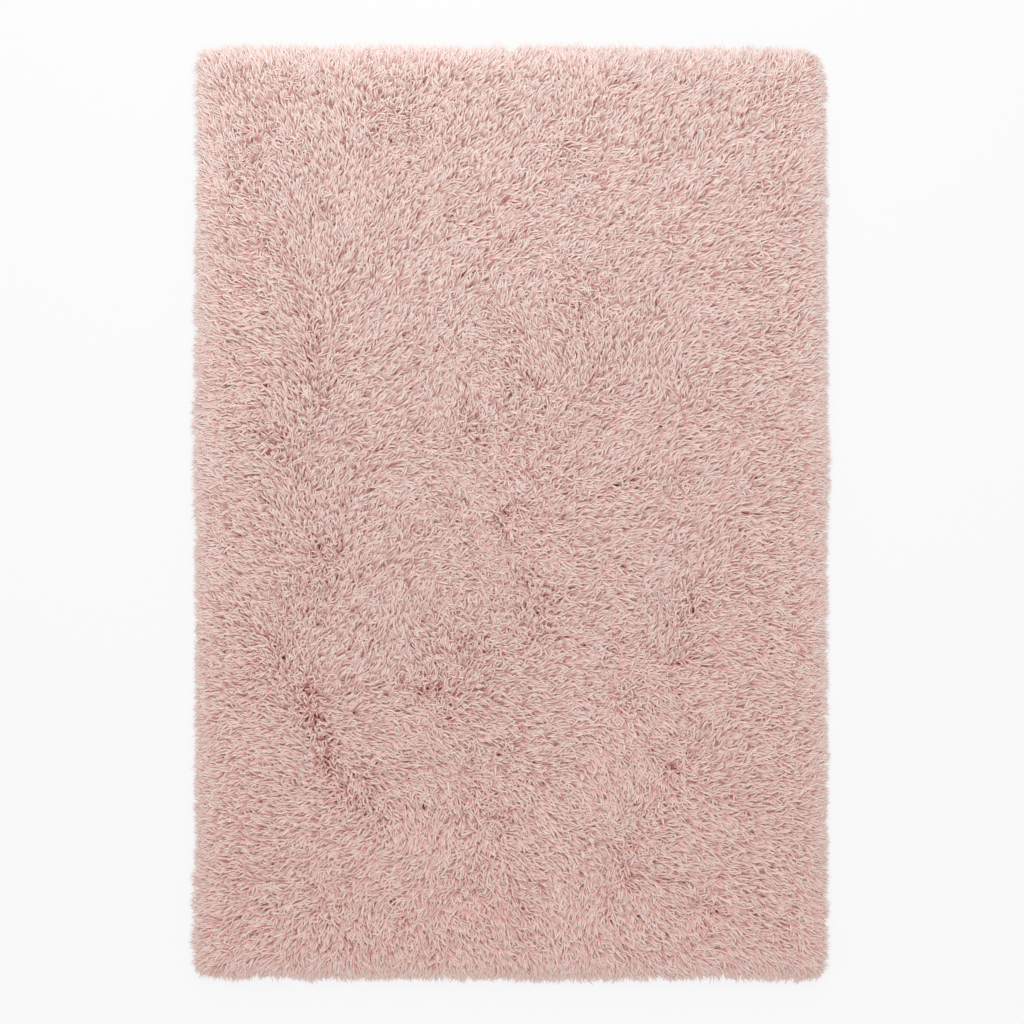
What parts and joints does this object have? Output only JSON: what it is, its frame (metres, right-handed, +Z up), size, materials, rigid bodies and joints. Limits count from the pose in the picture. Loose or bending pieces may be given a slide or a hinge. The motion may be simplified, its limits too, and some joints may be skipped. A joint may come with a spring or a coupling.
{
  "type": "shag rug",
  "caption": "Flat rectangular shag rug with long, soft, loosely combed pile that leans out past its edges, lying flat on the floor.",
  "frame": {"origin": "middle of the underside, on the floor", "axes": "+X across the rug, +Y along its length, +Z up through the pile"},
  "size_m": [1.2778, 1.874, 0.0427],
  "materials": {
    "pile_yarn": "soft matt pile yarn, pale blush pink tips and darker rose roots",
    "ground_cloth": "plain woven ground cloth under the pile"
  },
  "bodies": {
    "root": {"shag_rug": "pile_yarn"}
  },
  "joints": []
}
